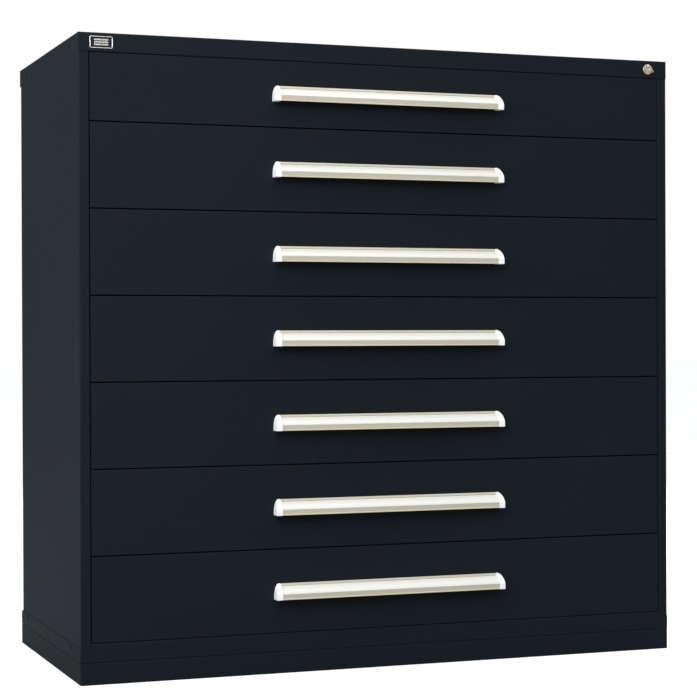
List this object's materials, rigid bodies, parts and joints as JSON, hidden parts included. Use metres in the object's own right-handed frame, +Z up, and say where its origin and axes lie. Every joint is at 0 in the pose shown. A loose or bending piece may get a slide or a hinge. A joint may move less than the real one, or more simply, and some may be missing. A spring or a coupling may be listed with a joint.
{
  "type": "tall chest of drawers",
  "caption": "Wide industrial drawer cabinet on a plain base, with full-width sliding drawers on roller carriages, label-holder handles and a keyed lock bar.",
  "frame": {"origin": "on the floor, at the centre of the four floor-anchor holes, which is the centre of the housing's footprint", "axes": "+X across the front to the right, +Y from the front to the back, +Z up"},
  "size_m": [1.524, 0.7312, 1.4986],
  "materials": {
    "powder_coat": "fine textured charcoal powder coat",
    "drawer_coat": "smooth light grey paint",
    "zinc_steel": "bright zinc plate",
    "satin_aluminium": "satin anodised",
    "label_card": "matt card under clear film",
    "white_plastic": "moulded, semi-gloss",
    "badge_enamel": "black enamel in a bright rim",
    "lock_brass": "polished",
    "key_nickel": "nickel plate"
  },
  "bodies": {
    "housing": {"base_frame": "powder_coat", "base_pan": "powder_coat", "top_cover": "powder_coat", "left_side_panel": "powder_coat", "right_side_panel": "powder_coat", "back_panel": "powder_coat", "left_uprights": "zinc_steel", "right_uprights": "zinc_steel", "cabinet_rails": "zinc_steel", "rail_screws": "zinc_steel", "back_panel_screws": "zinc_steel", "lock_barrel": "lock_brass", "lock_bar_guides": "zinc_steel", "badge": "badge_enamel"},
    "drawer_1": {"drawer_1_pan": "drawer_coat", "drawer_1_front": "powder_coat", "drawer_1_handle": "satin_aluminium", "drawer_1_handle_caps": "white_plastic", "drawer_1_label": "label_card"},
    "carriages_1": {"drawer_1_carriages": "zinc_steel"},
    "drawer_2": {"drawer_2_pan": "drawer_coat", "drawer_2_front": "powder_coat", "drawer_2_handle": "satin_aluminium", "drawer_2_handle_caps": "white_plastic", "drawer_2_label": "label_card"},
    "carriages_2": {"drawer_2_carriages": "zinc_steel"},
    "drawer_3": {"drawer_3_pan": "drawer_coat", "drawer_3_front": "powder_coat", "drawer_3_handle": "satin_aluminium", "drawer_3_handle_caps": "white_plastic", "drawer_3_label": "label_card"},
    "carriages_3": {"drawer_3_carriages": "zinc_steel"},
    "drawer_4": {"drawer_4_pan": "drawer_coat", "drawer_4_front": "powder_coat", "drawer_4_handle": "satin_aluminium", "drawer_4_handle_caps": "white_plastic", "drawer_4_label": "label_card"},
    "carriages_4": {"drawer_4_carriages": "zinc_steel"},
    "drawer_5": {"drawer_5_pan": "drawer_coat", "drawer_5_front": "powder_coat", "drawer_5_handle": "satin_aluminium", "drawer_5_handle_caps": "white_plastic", "drawer_5_label": "label_card"},
    "carriages_5": {"drawer_5_carriages": "zinc_steel"},
    "drawer_6": {"drawer_6_pan": "drawer_coat", "drawer_6_front": "powder_coat", "drawer_6_handle": "satin_aluminium", "drawer_6_handle_caps": "white_plastic", "drawer_6_label": "label_card"},
    "carriages_6": {"drawer_6_carriages": "zinc_steel"},
    "drawer_7": {"drawer_7_pan": "drawer_coat", "drawer_7_front": "powder_coat", "drawer_7_handle": "satin_aluminium", "drawer_7_handle_caps": "white_plastic", "drawer_7_label": "label_card"},
    "carriages_7": {"drawer_7_carriages": "zinc_steel"},
    "lock_plug": {"lock_plug": "lock_brass", "lock_cam": "zinc_steel"},
    "lock_bar": {"lock_bar": "zinc_steel"},
    "key": {"key": "key_nickel"}
  },
  "joints": [
    {"name": "drawer_1_slide", "type": "slide", "parent": "housing", "child": "drawer_1", "axis": [0, -1, 0], "range_m": [0, 0.66]},
    {"name": "carriages_1_slide", "type": "slide", "parent": "housing", "child": "carriages_1", "axis": [0, -1, 0], "range_m": [0, 0.33]},
    {"name": "drawer_2_slide", "type": "slide", "parent": "housing", "child": "drawer_2", "axis": [0, -1, 0], "range_m": [0, 0.66]},
    {"name": "carriages_2_slide", "type": "slide", "parent": "housing", "child": "carriages_2", "axis": [0, -1, 0], "range_m": [0, 0.33]},
    {"name": "drawer_3_slide", "type": "slide", "parent": "housing", "child": "drawer_3", "axis": [0, -1, 0], "range_m": [0, 0.66]},
    {"name": "carriages_3_slide", "type": "slide", "parent": "housing", "child": "carriages_3", "axis": [0, -1, 0], "range_m": [0, 0.33]},
    {"name": "drawer_4_slide", "type": "slide", "parent": "housing", "child": "drawer_4", "axis": [0, -1, 0], "range_m": [0, 0.66]},
    {"name": "carriages_4_slide", "type": "slide", "parent": "housing", "child": "carriages_4", "axis": [0, -1, 0], "range_m": [0, 0.33]},
    {"name": "drawer_5_slide", "type": "slide", "parent": "housing", "child": "drawer_5", "axis": [0, -1, 0], "range_m": [0, 0.66]},
    {"name": "carriages_5_slide", "type": "slide", "parent": "housing", "child": "carriages_5", "axis": [0, -1, 0], "range_m": [0, 0.33]},
    {"name": "drawer_6_slide", "type": "slide", "parent": "housing", "child": "drawer_6", "axis": [0, -1, 0], "range_m": [0, 0.66]},
    {"name": "carriages_6_slide", "type": "slide", "parent": "housing", "child": "carriages_6", "axis": [0, -1, 0], "range_m": [0, 0.33]},
    {"name": "drawer_7_slide", "type": "slide", "parent": "housing", "child": "drawer_7", "axis": [0, -1, 0], "range_m": [0, 0.66]},
    {"name": "carriages_7_slide", "type": "slide", "parent": "housing", "child": "carriages_7", "axis": [0, -1, 0], "range_m": [0, 0.33]},
    {"name": "lock_turn", "type": "hinge", "parent": "housing", "child": "lock_plug", "pos_m": [0.708, -0.35242, 1.47637], "axis": [0, 1, 0], "range_deg": [0, 90]},
    {"name": "lock_bar_slide", "type": "slide", "parent": "housing", "child": "lock_bar", "axis": [0, 0, 1], "range_m": [-0.01414, 0]},
    {"name": "key_pull", "type": "slide", "parent": "lock_plug", "child": "key", "axis": [0, -1, 0], "range_m": [0, 0.024]}
  ],
  "couplings": [
    {"joint": "carriages_1_slide", "follows": "drawer_1_slide", "ratio": 0.5},
    {"joint": "carriages_2_slide", "follows": "drawer_2_slide", "ratio": 0.5},
    {"joint": "carriages_3_slide", "follows": "drawer_3_slide", "ratio": 0.5},
    {"joint": "carriages_4_slide", "follows": "drawer_4_slide", "ratio": 0.5},
    {"joint": "carriages_5_slide", "follows": "drawer_5_slide", "ratio": 0.5},
    {"joint": "carriages_6_slide", "follows": "drawer_6_slide", "ratio": 0.5},
    {"joint": "carriages_7_slide", "follows": "drawer_7_slide", "ratio": 0.5},
    {"joint": "lock_turn", "follows": "lock_bar_slide", "rad_per_m": -111.07}
  ]
}
